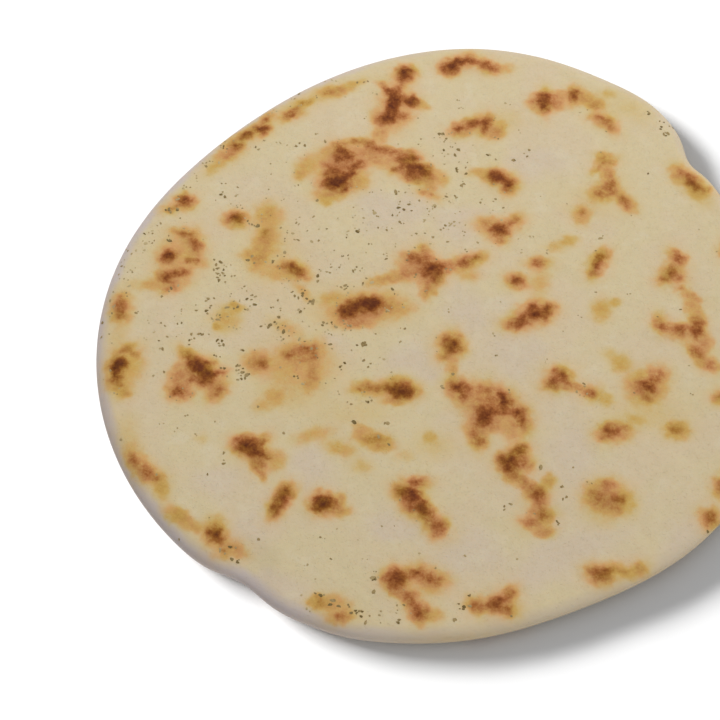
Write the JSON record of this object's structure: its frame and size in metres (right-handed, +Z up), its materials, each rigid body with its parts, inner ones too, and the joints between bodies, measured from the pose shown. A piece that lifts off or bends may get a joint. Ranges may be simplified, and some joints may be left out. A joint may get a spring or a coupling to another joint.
{
  "type": "piadina flatbread",
  "caption": "Round griddled wheat flatbread, uneven by hand, with a soft rounded rim, brown blisters and specks of charred flour.",
  "frame": {"origin": "under the middle of the bread's bounding box, on the surface it lies on", "axes": "+Z up through the thickness, out of the side that shows; -Y towards the viewer; +X to the right"},
  "size_m": [0.2378, 0.2408, 0.0084],
  "materials": {
    "dough": "dry, matte, floury griddled dough: pale cream, with golden to dark brown blisters and olive-grey flour specks"
  },
  "bodies": {
    "root": {"piadina": "dough"}
  },
  "joints": []
}
